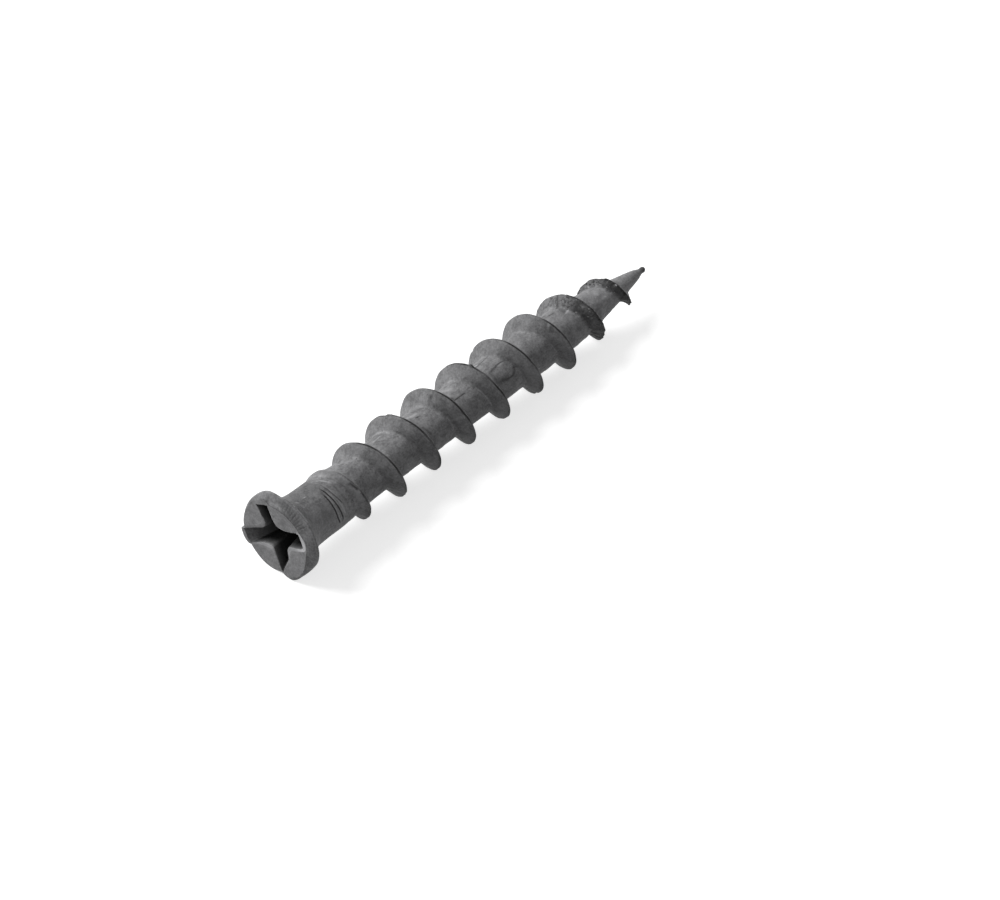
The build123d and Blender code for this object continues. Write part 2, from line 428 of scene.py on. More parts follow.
def shank(degrees, s):
    """Radius of the shank at an angle and a place along the axis, with its tone and roughness there."""
    turns = degrees / 360.0
    along = nearest_crest(degrees, s)
    wound = along / PITCH
    worn = stations(along, WORN_FROM) * stations(along, WORN_TO)
    thread, off, seam, wrinkle = rolled_thread(degrees, s, along, worn)
    core, folds, scales = mottled_core(degrees, s)
    present = (along > THREAD_START) & (along < THREAD_FINISH)
    thread = np.where(present, thread, 0.0)

    # A thin ridge where the thread's head side meets the core, and torn pits on the last turns' flanks
    broken = np.clip(0.7 + grain(wound * 6, 4.4), 0, 1)
    ridge = present * (off < 0) * bump(thread - core, 0.03, 0.05) * broken
    torn = worn * np.clip(2.2 * grain(turns * 36, off * 6, 36) - 0.4, 0, 1)
    torn = torn * (off < 0.1) * rising(thread - core, -0.25, 0.3)
    thread = thread - TORN_DEPTH * torn
    core = core - TORN_CORE_DEPTH * torn * (thread > core - 0.25)
    for place, angle, height, width in BURRS:
        here = (np.abs(along - place) < 1.5) * (np.abs(off) < 0.09)
        thread = thread + height * bump(turned_from(degrees, angle), 0, width) * here

    # Rounded where flank and core meet
    height = thread - core
    gap = np.clip(0.5 + 0.5 * height / ROOT_BLEND, 0, 1)
    radius = core * (1 - gap) + thread * gap + ROOT_BLEND * gap * (1 - gap) + RIDGE_HEIGHT * ridge

    # Paler on crest and scales, with a painted highlight on the root ridge; painted shade in the roots, on
    # the flanks and on the crest land on the side away from the key light, and painted light on the flanks
    # facing it; darker in the seam and the folds and on the worn turns
    raised = rising(height, 0.05, 0.08)
    on_core = thread < core
    # The root ridge's paleness is a painted highlight
    tone = CREST_TONE * raised * bump(off, 0.10, 0.03) + ROOT_RIDGE_HIGHLIGHT_TONE * ridge
    tone = tone + SCALE_TONE * scales * on_core + WRINKLE_TONE * wrinkle * raised
    # Painted shade in the roots, on the side away from the key light
    root = ROOT_TONE * bump(height, 0.2, 0.22) * around(degrees, ROOT_SHADE)
    # Painted shade and painted light on the flanks, by angle round the axis
    tone = tone + (off < 0) * (raised * around(degrees, FLANK_PAINTED_LIGHT_AND_SHADE) + root)
    tone = tone + POINT_TONE * on_core * rising(s, 27.0, 3.0)
    tone = darkened(tone, raised * seam)
    # Painted shade on the crest land, on the side away from the key light
    tone = darkened(tone, UNDER_CREST_TONE * raised * around(degrees, UNDER_CREST) * bump(off, 0.0, 0.08))
    tone = darkened(tone, FOLD_TONE * folds * on_core)
    rough = worn * rising(height, -0.1, 0.2) * falling(off, 0.12, 0.04)
    tone = darkened(tone, rough * (around(degrees, WORN_DARK) + WORN_POINT_TONE * rising(along, 32.0, 1.0)))
    tone = darkened(tone, WORN_CREST_TONE * worn * raised * bump(off, -0.03, 0.08))
    rough = np.maximum(rough, SCALE_ROUGHNESS * scales * on_core)

    radius, tone = marked(degrees, s, radius, tone)
    # Painted shade and painted light on the neck, by angle round the axis
    neck_painted_shade_and_light = around(degrees, NECK_PAINTED_SHADE_AND_LIGHT) * falling(s, 4.4, 0.6)
    tone = darkened(tone, neck_painted_shade_and_light) + np.minimum(neck_painted_shade_and_light, 0)
    tone = darkened(tone, TIP_TONE * rising(s, 37.45, 0.15))
    return radius, np.clip(tone, -1, 1), rough


def head_offset(s):
    # The head stands off the axis, and less so down the flare
    fade = falling(s, 2.9, 2.2)
    return HEAD_CENTRE * (fade * fade * (3 - 2 * fade))


def face_plane(y, z):
    return -LEAN * (y * math.cos(LEAN_TOWARD) + z * math.sin(LEAN_TOWARD))


# The mouth of the recess in order, as (y, z): the end of each wing, and the lobes between the wings
UP_WING = [(2.3, 1.55), (1.35, 2.0)]
LOBE_UP_RIGHT = [
    (1.05, 1.5), (0.8, 1.1), (0.55, 0.85), (0.3, 0.65), (-0.35, 0.7), (-0.9, 0.9), (-1.35, 1.05),
]
RIGHT_WING = [(-1.5, 1.05), (-2.0, 0.1)]
LOBE_RIGHT_DOWN = [
    (-1.85, -0.1), (-1.45, -0.25), (-0.75, -0.5), (-0.65, -0.8), (-0.7, -1.05), (-0.85, -1.6), (-0.6, -2.4),
]
DOWN_WING = [(-0.5, -2.95), (-0.35, -2.85)]
LOBE_DOWN_LEFT = [(0.1, -2.1), (0.4, -1.55), (0.5, -1.25), (0.9, -1.3), (1.45, -1.45), (1.75, -1.6)]
LEFT_WING = [(2.5, -2.1), (3.25, -1.2)]
LIP_INNER = [(2.75, -2.0), (3.0, -1.55)]
LOBE_LEFT_UP = [
    (2.9, -1.0), (1.65, -0.25), (1.45, 0.0), (1.4, 0.25), (1.45, 0.55), (1.85, 1.0), (2.05, 1.3),
]
MOUTH = UP_WING + LOBE_UP_RIGHT + RIGHT_WING + LOBE_RIGHT_DOWN + DOWN_WING + LOBE_DOWN_LEFT
MOUTH = MOUTH + LEFT_WING[:1] + LIP_INNER + LEFT_WING[1:] + LOBE_LEFT_UP

# The corners at the wings' ends and the middles of the lobes each take a column of the mesh
MIDDLES = [LOBE_UP_RIGHT[3], LOBE_RIGHT_DOWN[3], LOBE_DOWN_LEFT[2], LOBE_LEFT_UP[3]]
ANCHORS = UP_WING + MIDDLES[:1] + RIGHT_WING + MIDDLES[1:2]
ANCHORS = ANCHORS + DOWN_WING + MIDDLES[2:3] + LEFT_WING + MIDDLES[3:]
# The outline of the floor, in step with the anchors, as (degrees, reach) from the recess's centre
FLOOR = [
    (37, 0.8), (71, 0.8), (105, 0.5), (141, 0.8), (173, 0.8), (206, 0.5), (240, 0.8), (270, 0.8),
    (293, 0.5), (316, 0.75), (348, 0.75), (13, 0.5),
]
# The pit in the floor: rings as (share of the floor's reach, depth), the depth at its middle, and the
# painted shade that blackens it, also the darkest the recess walls get
PIT_RINGS = [(0.6, 2.74), (0.3, 2.95), (0.08, 3.12)]
PIT_DEPTH = 3.16
DEEPEST_PAINTED_SHADE = 0.97
# Behind the lip the wall starts as a ramp: its share of the way down, its reach and its depth
RAMP_SHARE = 0.42
RAMP_REACH = 2.05 / 3.1
RAMP_DEPTH = 0.9

# Round the head: the radius of its edge, how far the edge lies below the crooked face, and the radius
# at which the flat of the face ends
EDGE = [
    (-180, 3.1), (-148, 3.1), (-130, 3.24), (-113, 3.52), (-104, 3.36), (-97, 3.15), (-84, 3.3),
    (-68, 3.44), (-18, 3.46), (8, 3.33), (55, 3.31), (80, 3.05), (100, 2.94), (120, 2.88), (140, 2.92),
    (160, 3.02),
]
DROP = [
    (-180, 0.31), (-160, 0.37), (-148, 0.36), (-128, 0.2), (-108, 0.08), (-60, 0.1), (0, 0.07), (20, 0.12),
    (40, 0.26), (55, 0.38), (80, 0.35), (120, 0.34), (160, 0.29),
]
FLAT_END = [
    (-180, 2.37), (-169, 2.42), (-155, 2.62), (-130, 3.08), (-120, 3.22), (-106, 3.22), (-97, 3.05),
    (-88, 3.12), (-10, 3.27), (26, 3.12), (40, 2.95), (55, 2.88), (58, 2.78), (61, 2.42), (76, 2.22),
    (121, 2.04), (141, 2.08), (166, 2.38),
]
EDGE_ROUNDING = 0.035
EDGE_RISE = 0.025
# Under the edge the flare is tucked in by this much, where it ends, at this place along the axis
FLARE_TUCK = 0.16
FLARE_END = 0.8
# Between the edge and the flat the bevel is arched where it is steep, with short ribs pressed into one
# side of it, so many to a full circle. A pale ridge lies along it, and its last ring but one is dark
BEVEL_RINGS = (0.12, 0.26, 0.4, 0.54, 0.68, 0.82, 0.92, 0.97, 1.0)
BEVEL_ARCH = 0.10
BEVEL_GRAIN = 0.012
# How much darker the bevel is painted, as painted shade of its slope
BEVEL_PAINTED_SHADE = 0.16
BEVEL_ROUGHNESS = 0.12
RIDGE_ON_BEVEL_TONE = -0.35
DARK_RING_TONE = 0.45
RIB_TONE = 0.4
RIB_DEPTH = 0.03
RIBS = 64
RIBS_FROM = 86
RIBS_TO = 142
# Dents of the face, its proud foot, the facets that slope down to the mouth, and the walls of the recess
DENT_DEPTHS = (0.012, 0.007)
FOOT_HEIGHT = 0.08
FOOT_TOWARD = -112
FACE_TONE = -0.12
FACET_EDGE_TONE = -0.9
FACET_SLOPE = 0.16
WALL_GRAIN = 0.010
# Widths of the worn facets round the mouth, and how pale they are
FACETS = [
    (-100, 0.06), (-66, 0.26), (-42, 0.05), (-18, 0.08), (-6, 0.42), (6, 0.42), (28, 0.06), (60, 0.06),
    (130, 0.08), (138, 0.5), (160, 0.5), (190, 0.3), (215, 0.32), (252, 0.05),
]
PALE = [
    (-100, 0), (-60, 0.28), (-42, 0.05), (-18, 0), (0, 0.22), (14, 0.22), (30, 0), (58, 0.1), (75, 0.45),
    (130, 0.5), (145, 0.75), (170, 0.85), (180, 0.7), (195, 0.25), (220, 0.2), (245, 0.05),
]
# How far a pale ridge shows along the inner side of the bevel, and the radius of the lip's outer edge
RIDGE = [(-90, 0.0), (40, 0.0), (60, 0.7), (78, 1.0), (92, 0.7), (104, 0.25), (125, 0.0), (160, 0.0)]
LIP_OUTER = [(-41, 3.5), (-39, 3.62), (-34, 3.73), (-20, 3.73)]


def rim_angle(point):
    # Where a ray from the recess's centre through a point meets the rim, in degrees about the axis
    direction = np.array(point) - RECESS_CENTRE
    direction = direction / np.linalg.norm(direction)
    forward = RECESS_CENTRE @ direction
    reach = -forward + math.sqrt(forward**2 + RIM_RADIUS**2 - RECESS_CENTRE @ RECESS_CENTRE)
    place = RECESS_CENTRE + reach * direction
    return math.degrees(math.atan2(place[1], place[0])) % 360


def lengths_along(path):
    return np.cumsum(np.linalg.norm(np.diff(np.array(path, float), axis=0), axis=1))


def anchor_angles():
    # Where each anchor meets the rim. The middle of a lobe shares the columns out evenly on both its sides
    angles = [rim_angle(point) for point in ANCHORS]
    for m in range(2, len(ANCHORS), 3):
        after = (m + 1) % len(ANCHORS)
        path = [MOUTH[n % len(MOUTH)] for n in range(MOUTH.index(ANCHORS[m - 1]), len(MOUTH) + 1)]
        path = path[: path.index(ANCHORS[after]) + 1]
        lengths = lengths_along(path)
        part = lengths[path.index(ANCHORS[m]) - 1] / lengths[-1]
        angles[m] = (angles[m - 1] + ((angles[after] - angles[m - 1]) % 360) * part) % 360
    return angles


# Columns of the mesh: even steps, moved a little to meet the anchors of the recess
column_degrees = np.arange(COLUMNS) * 360.0 / COLUMNS
anchor_columns = []
for wanted in anchor_angles():
    column = int(np.argmin(np.abs(turned_from(column_degrees, wanted))))
    column_degrees[column] = wanted
    anchor_columns.append(column)
cosines, sines = np.cos(np.radians(column_degrees)), np.sin(np.radians(column_degrees))


def along_outline(outline, marks):
    # Points of a closed outline, one to each column, with given points of it at the anchor columns
    places = np.zeros((COLUMNS, 2))
    count = len(marks)
    for m in range(count):
        start, end = marks[m], marks[(m + 1) % count]
        path = [outline[(start + n) % len(outline)] for n in range((end - start) % len(outline) + 1)]
        path = np.array(path, float)
        lengths = np.concatenate([[0], lengths_along(path)])
        first, last = anchor_columns[m], anchor_columns[(m + 1) % count]
        span = (last - first) % COLUMNS
        for n in range(span):
            at = lengths[-1] * n / span
            places[(first + n) % COLUMNS] = [np.interp(at, lengths, path[:, axis]) for axis in (0, 1)]
    return places


def mouth_outline():
    # The mouth of the recess, smoothed except at the wings' corners
    places = along_outline(MOUTH, [MOUTH.index(point) for point in ANCHORS])
    corners = [column for column, point in zip(anchor_columns, ANCHORS) if point not in MIDDLES]
    for _ in range(4):
        mean = (np.roll(places, 1, axis=0) + np.roll(places, -1, axis=0)) / 2
        mean[corners] = places[corners]
        places = places + 0.5 * (mean - places)
    return places


mouth = mouth_outline()
floor_points = [tuple(RECESS_CENTRE + polar(reach, angle)) for angle, reach in FLOOR]
floor_outline = along_outline(floor_points, list(range(len(FLOOR))))

# The head column by column: its edge, with the lip's in the lip's place, and the end of its flat
signed_degrees = turned_from(column_degrees, 0)
lip_from, lip_to = (rim_angle(point) - 360 for point in LEFT_WING)
lipped = (signed_degrees > lip_from - 0.01) & (signed_degrees < lip_to + 0.01)
edge = around(column_degrees, EDGE) + 0.010 * grain(column_degrees / 9, 0.4, 40)
outer = np.where(lipped, stations(signed_degrees, LIP_OUTER), edge)
edge_s = face_plane(outer * cosines, outer * sines) + np.where(lipped, 0.03, around(column_degrees, DROP))
flat_end = np.where(lipped, outer - 0.05, around(column_degrees, FLAT_END))
pale = np.where(lipped, 0.0, around(column_degrees, PALE))

# The whole surface: its vertices as (s, y, z), with a tone and a roughness each, and its faces
verts = []
tones = []
roughs = []
faces = []


def add_point(s, y, z, tone):
    verts.append((s, y, z))
    tones.append(tone)
    roughs.append(0.0)
    return len(verts) - 1


def add_ring(s, y, z, tone=0.0, rough=0.0):
    # One closed ring of vertices, as the indices of its vertices
    first = len(verts)
    s, y, z, tone, rough = np.broadcast_arrays(s, y, z, tone, rough)
    verts.extend(zip(s.tolist(), y.tolist(), z.tolist()))
    tones.extend(tone.tolist())
    roughs.extend(rough.tolist())
    return np.arange(first, first + COLUMNS)


def join_rings(nearer, further):
    # Faces between two rings, the first of them nearer to the recess
    for i in range(COLUMNS):
        j = (i + 1) % COLUMNS
        faces.append((nearer[i], nearer[j], further[j], further[i]))


def ring_before(further, s, y, z, tone=0.0, rough=0.0):
    # The next ring on the way to the recess, joined to the one before
    ring = add_ring(s, y, z, tone, rough)
    join_rings(ring, further)
    return ring


def face_relief(y, z):
    # The face is struck rough: shallow dents, and a proud lobe at its foot
    degrees = np.degrees(np.arctan2(z, y))
    foot = bump(degrees, FOOT_TOWARD, 9) * rising(np.hypot(y, z), 2.4, 0.9)
    broad, fine = DENT_DEPTHS
    dents = broad * grain(y * 1.9, z * 1.9)
    return face_plane(y, z) - FOOT_HEIGHT * foot + dents + fine * grain(y * 5, z * 5)


# Rings down the flare and the neck, closer together where nicks and laps lie
FLARE_ROWS = [0.88, 0.95, 1.04, 1.15, 1.28, 1.42, 1.5, 1.56, 1.62, 1.7, 1.8, 1.95, 2.1]
NECK_ROWS = [2.25, 2.35, 2.42, 2.5, 2.65, 2.8, 2.95, 3.05, 3.15, 3.3, 3.45]
LAP_ROWS = np.linspace(3.53, NECK_JOIN, 34)


def build_neck():
    # The flare and the neck, as their first and last rings
    rings = []
    for s in np.concatenate([FLARE_ROWS, NECK_ROWS, LAP_ROWS]):
        radius, tone, rough = shank(column_degrees, np.full(COLUMNS, s))
        y, z = head_offset(s)
        if s < 1.0:
            radius = np.minimum(radius, edge - 0.01)
        rings.append(add_ring(s, radius * cosines + y, radius * sines + z, tone, rough))
        if len(rings) > 1:
            join_rings(rings[-2], rings[-1])
    return rings[0], rings[-1]


def build_edge(further):
    # From the flare, tucked in under the edge, over the edge and the lip
    for share in (0.93, 0.75, 0.45, 0.2, 0.05):
        s = edge_s + (FLARE_END - edge_s) * share
        tucked = rising(share, 0.6, 0.35) ** 1.5 * np.clip((edge - 2.9) / 0.4, 0.1, 1)
        radius = edge - FLARE_TUCK * tucked + (outer - edge) * falling(share, 0.62, 0.42)
        further = ring_before(further, s, radius * cosines, radius * sines)
    radius = outer - EDGE_ROUNDING
    return ring_before(further, edge_s - EDGE_RISE, radius * cosines, radius * sines, -0.03)


def build_bevel(further):
    # Over the bevel to the flat of the face, with short ribs pressed into its wide side
    flat_y, flat_z = flat_end * cosines, flat_end * sines
    flat_s = face_relief(flat_y, flat_z)
    edge_y, edge_z = (outer - EDGE_ROUNDING) * cosines, (outer - EDGE_ROUNDING) * sines
    wide = np.clip((outer - flat_end) / 0.3, 0, 1)
    steep = np.clip(around(column_degrees, DROP) - 0.1, 0, 0.2)
    ribbed = rising(column_degrees, RIBS_FROM, 5) * falling(column_degrees, RIBS_TO, 6)
    rib_shape = np.maximum(0, np.cos(np.radians(column_degrees * RIBS))) ** 2
    for share in BEVEL_RINGS:
        y = edge_y + (flat_y - edge_y) * share
        z = edge_z + (flat_z - edge_z) * share
        arch = BEVEL_ARCH * share * (1 - share) * steep / 0.2
        ribs = ribbed * bump(share, 0.5, 0.38) * rib_shape
        s = (edge_s - EDGE_RISE) + (flat_s - edge_s + EDGE_RISE) * share - arch + RIB_DEPTH * ribs
        s = s + BEVEL_GRAIN * grain(y * 2.5, z * 2.5) * np.clip(4 * share * (1 - share), 0, 1)
        pale_ridge = np.clip(around(column_degrees, RIDGE), 0, 1) * bump(share, 0.72, 0.16)
        dark_ring = share == BEVEL_RINGS[-2]
        # The bevel is painted darker as painted shade, with ribs and a pale ridge on it
        tone = wide * (BEVEL_PAINTED_SHADE + RIDGE_ON_BEVEL_TONE * pale_ridge) + RIB_TONE * ribs
        tone = tone + DARK_RING_TONE * dark_ring * wide
        further = ring_before(further, s, y, z, np.where(lipped, 0.0, tone), BEVEL_ROUGHNESS * wide)
    return further


def build_face(further):
    # Over the flat of the face, then down the worn facets to the mouth, and how far down that is
    flat = np.stack([flat_end * cosines, flat_end * sines], 1)
    outward = flat - mouth
    distance = np.linalg.norm(outward, axis=1, keepdims=True)
    width = np.where(lipped, 0.04, around(column_degrees, FACETS))
    facet = np.minimum(width[:, None], 0.8 * distance)
    facet_edge = mouth + outward / distance * facet
    drop = FACET_SLOPE * facet[:, 0] + 0.012
    for share in (0.04, 0.26, 0.48, 0.7, 0.88, 0.98, 1.0):
        y, z = (flat * (1 - share) + facet_edge * share).T
        tone = FACE_TONE + FACET_EDGE_TONE * pale * (share == 1.0)
        further = ring_before(further, face_relief(y, z), y, z, tone)
    for share in (0.45, 0.9):
        y, z = (facet_edge + (mouth - facet_edge) * share).T
        further = ring_before(further, face_relief(y, z) + drop * share, y, z, -pale)
    return further, drop


def build_recess(further, drop):
    # The walls of the recess, its floor and the pit in the middle, with painted shade darker the deeper
    # they lie
    mouth_s = face_relief(mouth[:, 0], mouth[:, 1]) + drop + 0.03
    ramp_end = RECESS_CENTRE + (mouth - RECESS_CENTRE) * RAMP_REACH
    for share in (0.0, 0.05, 0.12, 0.2, 0.3, 0.4, 0.5, 0.6, 0.7, 0.8, 0.9, 1.0):
        wall = mouth + (floor_outline - mouth) * share
        wall_s = mouth_s + (RECESS_DEPTH - mouth_s) * share
        if share < RAMP_SHARE:
            down = share / RAMP_SHARE
            ramp = mouth + (ramp_end - mouth) * down
            ramp_s = mouth_s + (RAMP_DEPTH - mouth_s) * down
        else:
            down = (share - RAMP_SHARE) / (1 - RAMP_SHARE)
            ramp = ramp_end + (floor_outline - ramp_end) * down
            ramp_s = RAMP_DEPTH + (RECESS_DEPTH - RAMP_DEPTH) * down
        y, z = np.where(lipped[:, None], ramp, wall).T
        s = np.where(lipped, ramp_s, wall_s)
        uneven = WALL_GRAIN * grain(column_degrees / 8, share * 7, 45)
        # Painted shade: the walls grow darker with depth, towards black
        tone = np.where(lipped, 0.4 + 1.6 * np.clip(share - 0.12, 0, 1), 0.5 + 2.6 * share)
        tone = np.clip(tone - 0.7 * pale * (share < 0.02), -0.6, DEEPEST_PAINTED_SHADE)
        further = ring_before(further, s, y + uneven * cosines, z + uneven * sines, tone)
    for share, s in PIT_RINGS:
        y, z = (RECESS_CENTRE + share * (floor_outline - RECESS_CENTRE)).T
        further = ring_before(further, s, y, z, DEEPEST_PAINTED_SHADE)
    centre = add_point(PIT_DEPTH, RECESS_CENTRE[0], RECESS_CENTRE[1], DEEPEST_PAINTED_SHADE)
    for i in range(COLUMNS):
        faces.append((further[i], centre, further[(i + 1) % COLUMNS]))


# Along the shank rows of vertices follow the thread, these distances from the crest of each turn and
# closest together at the crest and the roots. Turns are counted from the first crest, over both ends
OFFSETS = np.array([
    -1.70, -1.48, -1.28, -1.12, -0.99, -0.89, -0.80, -0.72, -0.64, -0.53, -0.40, -0.27, -0.17, -0.10,
    -0.066, -0.03, 0.0, 0.03, 0.06, 0.085, 0.108, 0.15, 0.23, 0.33, 0.44, 0.54, 0.63, 0.72, 0.82, 0.95,
    1.12, 1.32, 1.53,
])
FIRST_TURN = -2
LAST_TURN = 12


def join_columns(i, first_points, spans, low_ring, high_ring):
    # Faces between a column and the next. Each column begins and ends at a row of its own, and triangles
    # fill in its ends
    j = (i + 1) % COLUMNS
    wrap = len(OFFSETS) if j == 0 else 0
    a, b = spans[i]
    c, d = spans[j][0] - wrap, spans[j][1] - wrap

    def left(row):
        return first_points[i] + row - a

    def right(row):
        return first_points[j] + row - c

    faces.append((low_ring[i], low_ring[j], right(c)))
    for row in range(c, a):
        faces.append((low_ring[i], right(row), right(row + 1)))
    faces.append((low_ring[i], right(a), left(a)))
    for row in range(a, d):
        faces.append((left(row), right(row), right(row + 1), left(row + 1)))
    faces.append((left(d), right(d), high_ring[j]))
    for row in range(d, b):
        faces.append((high_ring[j], left(row + 1), left(row)))
    faces.append((high_ring[j], high_ring[i], left(b)))


def build_shank(low_ring):
    # From the last ring of the neck to the tip
    rows = np.arange((LAST_TURN - FIRST_TURN) * len(OFFSETS))
    row_turn = FIRST_TURN + rows // len(OFFSETS)
    row_offset = OFFSETS[rows % len(OFFSETS)]
    # Rows stray from an even helix with the crest, less so further from it
    row_held = 1 - np.clip(np.abs(row_offset) / 1.5, 0, 1) ** 2

    first_points = []
    spans = []
    high_ring = []
    for angle in column_degrees:
        along = FIRST_CREST + PITCH * (row_turn + (angle - TURN) / 360.0)
        s = along + row_offset + row_held * stations(along, SHIFT)
        inside = np.nonzero((s > NECK_JOIN + 0.03) & (s < NOSE - 0.03))[0]
        spans.append((inside[0], inside[-1]))
        s = np.append(s[inside[0] : inside[-1] + 1], NOSE)
        radius, tone, rough = shank(np.full(len(s), angle), s)
        first_points.append(len(verts))
        verts.extend(zip(s, radius * math.cos(math.radians(angle)), radius * math.sin(math.radians(angle))))
        tones.extend(tone)
        roughs.extend(rough)
        high_ring.append(len(verts) - 1)
    for i in range(COLUMNS):
        join_columns(i, first_points, spans, low_ring, high_ring)

    tip = add_point(LENGTH, 0.0, 0.0, TIP_TONE)
    for i in range(COLUMNS):
        faces.append((high_ring[i], high_ring[(i + 1) % COLUMNS], tip))


def placed_mesh():
    # The surface in the frame's metres, kept inside the box of the part's own solid
    points = np.array(verts, float)
    placed = AXIS_START + points[:, :1] * ALONG + points[:, 1:2] * LEFT + points[:, 2:3] * OVER
    low, high = np.array(cad_bounds[0]) / MM, np.array(cad_bounds[1]) / MM
    placed = np.clip(placed, low + 0.001, high - 0.001)
    mesh = bpy.data.meshes.new("screw_surface")
    mesh.from_pydata([tuple(p) for p in placed * MM], [], [tuple(int(v) for v in f) for f in faces])
    mesh.validate()
    mesh.update()
    for name, values in (("tone", tones), ("rough", roughs)):
        attribute = mesh.attributes.new(name, "FLOAT", "POINT")
        attribute.data.foreach_set("value", np.array(values, np.float32))
    for polygon in mesh.polygons:
        polygon.use_smooth = True
    mesh.set_sharp_from_angle(angle=math.radians(38))
    return mesh


neck_top, neck_foot = build_neck()
mouth_ring, mouth_drop = build_face(build_bevel(build_edge(neck_top)))
build_recess(mouth_ring, mouth_drop)
build_shank(neck_foot)
mesh = placed_mesh()
screw = bpy.data.objects.new("screw_surface", mesh)
bpy.context.scene.collection.objects.link(screw)


def calculated(tree, operation, *values):
    # A maths node over numbers and the outputs of other nodes
    node = tree.nodes.new("ShaderNodeMath")
    node.operation = operation
    for socket, value in zip(node.inputs, values):
        if isinstance(value, (int, float)):
            socket.default_value = value
        else:
            tree.links.new(value, socket)
    return node.outputs[0]


def attribute_value(tree, name):
    node = tree.nodes.new("ShaderNodeAttribute")
    node.attribute_name = name
    return node.outputs["Fac"]


def between(tree, value, low, high):
    # From 0 at the low value to 1 at the high one
    node = tree.nodes.new("ShaderNodeMapRange")
    node.inputs["From Min"].default_value = low
    node.inputs["From Max"].default_value = high
    tree.links.new(value, node.inputs["Value"])
    return node.outputs["Result"]


def mixed(tree, factor, plain, colour):
    node = tree.nodes.new("ShaderNodeMix")
    node.data_type = "RGBA"
    tree.links.new(factor, node.inputs[0])
    tree.links.new(plain, node.inputs[6])
    node.inputs[7].default_value = colour
    return node.outputs[2]


# How fine the noises of the coat are: its crystals in three sizes, its pits and its chips
BROAD_SCALE = 420.0
MIDDLE_SCALE = 1900.0
FINE_SCALE = 6500.0
PIT_SCALE = 4200.0
CHIP_SCALE = 2600.0
# The coat's darker and paler crystals, the black of its pits and seams and of painted shade, and steel
# where it is rubbed off and where light is painted
DARK_COAT = (0.085, 0.085, 0.087, 1)
PALE_COAT = (0.20, 0.20, 0.204, 1)
PIT_BLACK_AND_PAINTED_SHADE = (0.004, 0.004, 0.004, 1)
RUBBED_STEEL_AND_PAINTED_LIGHT = (0.42, 0.42, 0.43, 1)


def phosphate():
    # A matte dark grey coat of fine crystals over steel, paler where it is rubbed, black in the seams, with
    # painted shade and painted light laid in by the tone
    material = bpy.data.materials.new("phosphated_steel")
    material.use_nodes = True
    tree = material.node_tree
    shader = tree.nodes["Principled BSDF"]
    place = tree.nodes.new("ShaderNodeTexCoord").outputs["Object"]

    def noise(scale, detail, roughness):
        node = tree.nodes.new("ShaderNodeTexNoise")
        node.inputs["Scale"].default_value = scale
        node.inputs["Detail"].default_value = detail
        node.inputs["Roughness"].default_value = roughness
        tree.links.new(place, node.inputs["Vector"])
        return node.outputs["Fac"]

    def times(a, b):
        return calculated(tree, "MULTIPLY", a, b)

    def plus(a, b):
        return calculated(tree, "ADD", a, b)

    def greater(a, b):
        return calculated(tree, "MAXIMUM", a, b)

    broad = noise(BROAD_SCALE, 4.0, 0.6)
    middle = noise(MIDDLE_SCALE, 4.0, 0.65)
    fine = noise(FINE_SCALE, 3.0, 0.7)
    crystals = plus(plus(times(broad, 0.3), times(middle, 0.35)), times(fine, 0.35))
    ramp = tree.nodes.new("ShaderNodeValToRGB")
    dark_end, pale_end = ramp.color_ramp.elements
    dark_end.position = 0.41
    dark_end.color = DARK_COAT
    pale_end.position = 0.59
    pale_end.color = PALE_COAT
    tree.links.new(crystals, ramp.inputs["Fac"])

    # Pits all over, many of them where it is rough, and bare chips there
    tone_here = attribute_value(tree, "tone")
    rough_here = attribute_value(tree, "rough")
    speckle = noise(PIT_SCALE, 3.0, 0.6)
    pits = greater(between(tree, speckle, 0.70, 0.76), times(rough_here, between(tree, speckle, 0.5, 0.6)))
    chips = times(rough_here, between(tree, noise(CHIP_SCALE, 2.0, 0.5), 0.64, 0.68))
    darker = greater(tone_here, times(pits, 0.8))
    paler = greater(times(tone_here, -1.0), times(chips, 0.5))
    # Painted shade mixes towards black with the pits, painted light towards steel with the chips
    colour = mixed(tree, darker, ramp.outputs["Color"], PIT_BLACK_AND_PAINTED_SHADE)
    colour = mixed(tree, paler, colour, RUBBED_STEEL_AND_PAINTED_LIGHT)
    tree.links.new(colour, shader.inputs["Base Color"])
    shader.inputs["Metallic"].default_value = 0.0
    shader.inputs["Roughness"].default_value = 0.6
    shader.inputs["Specular IOR Level"].default_value = 0.22

    relief = tree.nodes.new("ShaderNodeBump")
    relief.inputs["Strength"].default_value = 0.55
    relief.inputs["Distance"].default_value = 0.00003
    height = calculated(tree, "SUBTRACT", plus(middle, times(fine, 0.8)), times(pits, 1.2))
    tree.links.new(height, relief.inputs["Height"])
    tree.links.new(relief.outputs["Normal"], shader.inputs["Normal"])
    return material


mesh.materials.append(phosphate())
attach(screw, "root")
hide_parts("drywall_screw")

# A white floor and an even white surround. To the camera and in reflections both are white paper; for
# the light that they send to the screw they are dimmer, as in a tent lit from one side
FLOOR_REACH = 3.0
FLOOR_GREY = 0.5
FLOOR_GLOW = 0.7
SKY = 0.32


def background_rays(tree):
    # 1 for rays from the camera, or seen in a reflection or through glass
    rays = tree.nodes.new("ShaderNodeLightPath").outputs
    value = calculated(tree, "MAXIMUM", rays["Is Camera Ray"], rays["Is Glossy Ray"])
    return calculated(tree, "MAXIMUM", value, rays["Is Transmission Ray"])


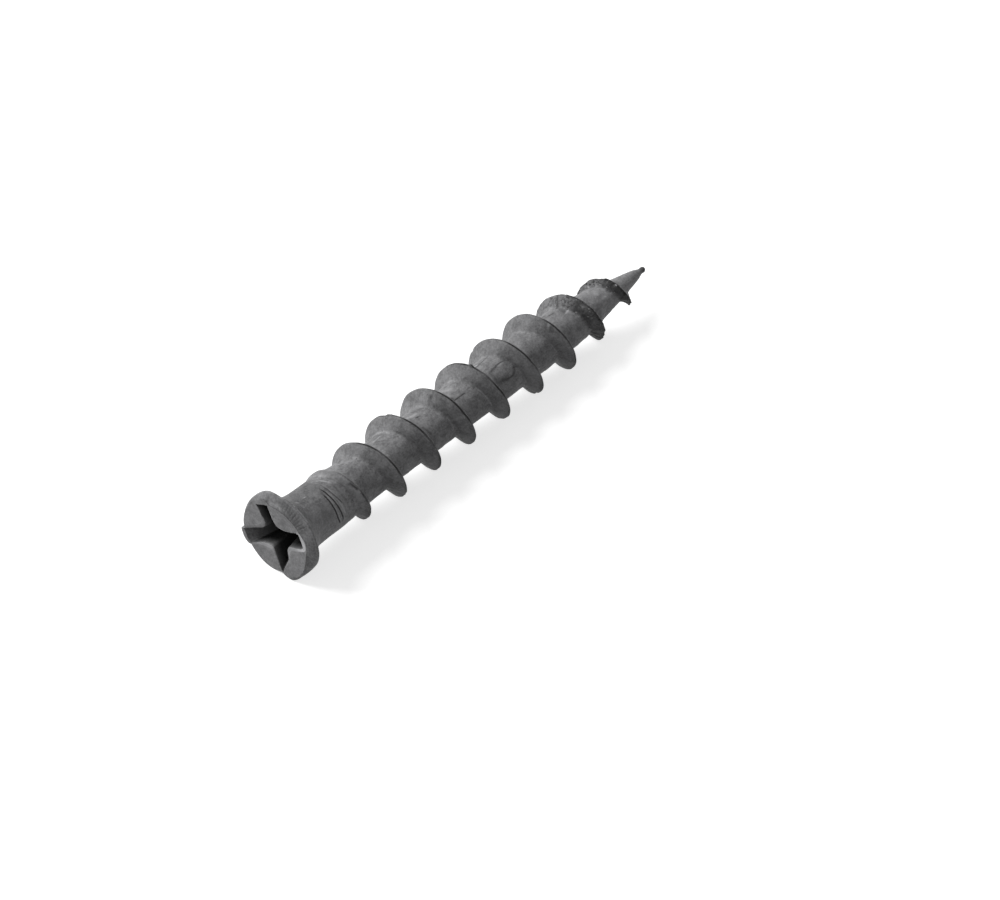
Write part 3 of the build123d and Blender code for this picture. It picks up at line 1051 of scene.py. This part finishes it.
def white_paper():
    paper = bpy.data.materials.new("white_paper")
    paper.use_nodes = True
    tree = paper.node_tree
    shader = tree.nodes["Principled BSDF"]
    shader.inputs["Base Color"].default_value = (FLOOR_GREY, FLOOR_GREY, FLOOR_GREY, 1)
    shader.inputs["Roughness"].default_value = 1.0
    shader.inputs["Specular IOR Level"].default_value = 0.0
    shader.inputs["Emission Color"].default_value = (1, 1, 1, 1)
    glow = calculated(tree, "MULTIPLY", background_rays(tree), FLOOR_GLOW)
    tree.links.new(glow, shader.inputs["Emission Strength"])
    return paper


def white_surround():
    world = bpy.data.worlds.new("surround")
    world.use_nodes = True
    tree = world.node_tree
    background = tree.nodes["Background"]
    background.inputs["Color"].default_value = (1, 1, 1, 1)
    strength = calculated(tree, "MULTIPLY_ADD", background_rays(tree), 1.0 - SKY, SKY)
    tree.links.new(strength, background.inputs["Strength"])
    return world


floor_mesh = bpy.data.meshes.new("floor")
floor_corners = [(x * FLOOR_REACH, y * FLOOR_REACH, 0) for x, y in ((-1, -1), (1, -1), (1, 1), (-1, 1))]
floor_mesh.from_pydata(floor_corners, [], [(0, 1, 2, 3)])
floor_mesh.materials.append(white_paper())
floor = bpy.data.objects.new("floor", floor_mesh)
bpy.context.scene.collection.objects.link(floor)
bpy.context.scene.world = white_surround()

# The camera stands where the photograph's did. In the screw's own frame it looks at a point beside
# the screw, from this many degrees round it and above it, and is turned a little about its line of sight
LOOKS_AT = (16.515, -5.205, 0.0)
CAMERA_ROUND = math.radians(-137.921)
CAMERA_ABOVE = math.radians(45.405)
CAMERA_TURN = math.radians(1.156)
CAMERA_DISTANCE = 211.76
LENS = 108.16


def turned(v):
    # A direction of the screw's own frame in the shared one
    return v[0] * ALONG + v[1] * LEFT + v[2] * OVER


def placed_camera():
    data = bpy.data.cameras.new("camera")
    data.sensor_width = 36.0
    data.lens = LENS
    data.clip_start = 0.01
    data.clip_end = 10.0
    ahead, aside = math.cos(CAMERA_ROUND), math.sin(CAMERA_ROUND)
    back = turned((math.cos(CAMERA_ABOVE) * ahead, math.cos(CAMERA_ABOVE) * aside, math.sin(CAMERA_ABOVE)))
    level = turned((-aside, ahead, 0.0))
    right = math.cos(CAMERA_TURN) * level + math.sin(CAMERA_TURN) * np.cross(back, level)
    up = np.cross(back, right)
    eye = (AXIS_START + turned(LOOKS_AT) + CAMERA_DISTANCE * back) * MM
    camera = bpy.data.objects.new("camera", data)
    camera.matrix_world = Matrix([*zip(right, up, back, eye), (0, 0, 0, 1)])
    return camera


def soft_light(name, place, size, power):
    data = bpy.data.lights.new(name, "AREA")
    data.shape = "DISK"
    data.size = size
    data.energy = power
    light = bpy.data.objects.new(name, data)
    light.location = place
    light.rotation_mode = "QUATERNION"
    light.rotation_quaternion = Vector(place).to_track_quat("Z", "Y")
    return light


# The key light stands before the head, to the left and above
KEY_TOWARD = (-0.25, 0.66, 0.71)
KEY_DISTANCE = 0.6
KEY_SIZE = 0.35
KEY_POWER = 5.2

camera = placed_camera()
bpy.context.scene.collection.objects.link(camera)
bpy.context.scene.camera = camera
key_light = soft_light("key", tuple(KEY_DISTANCE * turned(KEY_TOWARD)), KEY_SIZE, KEY_POWER)
bpy.context.scene.collection.objects.link(key_light)

bpy.context.scene.view_settings.view_transform = "Standard"
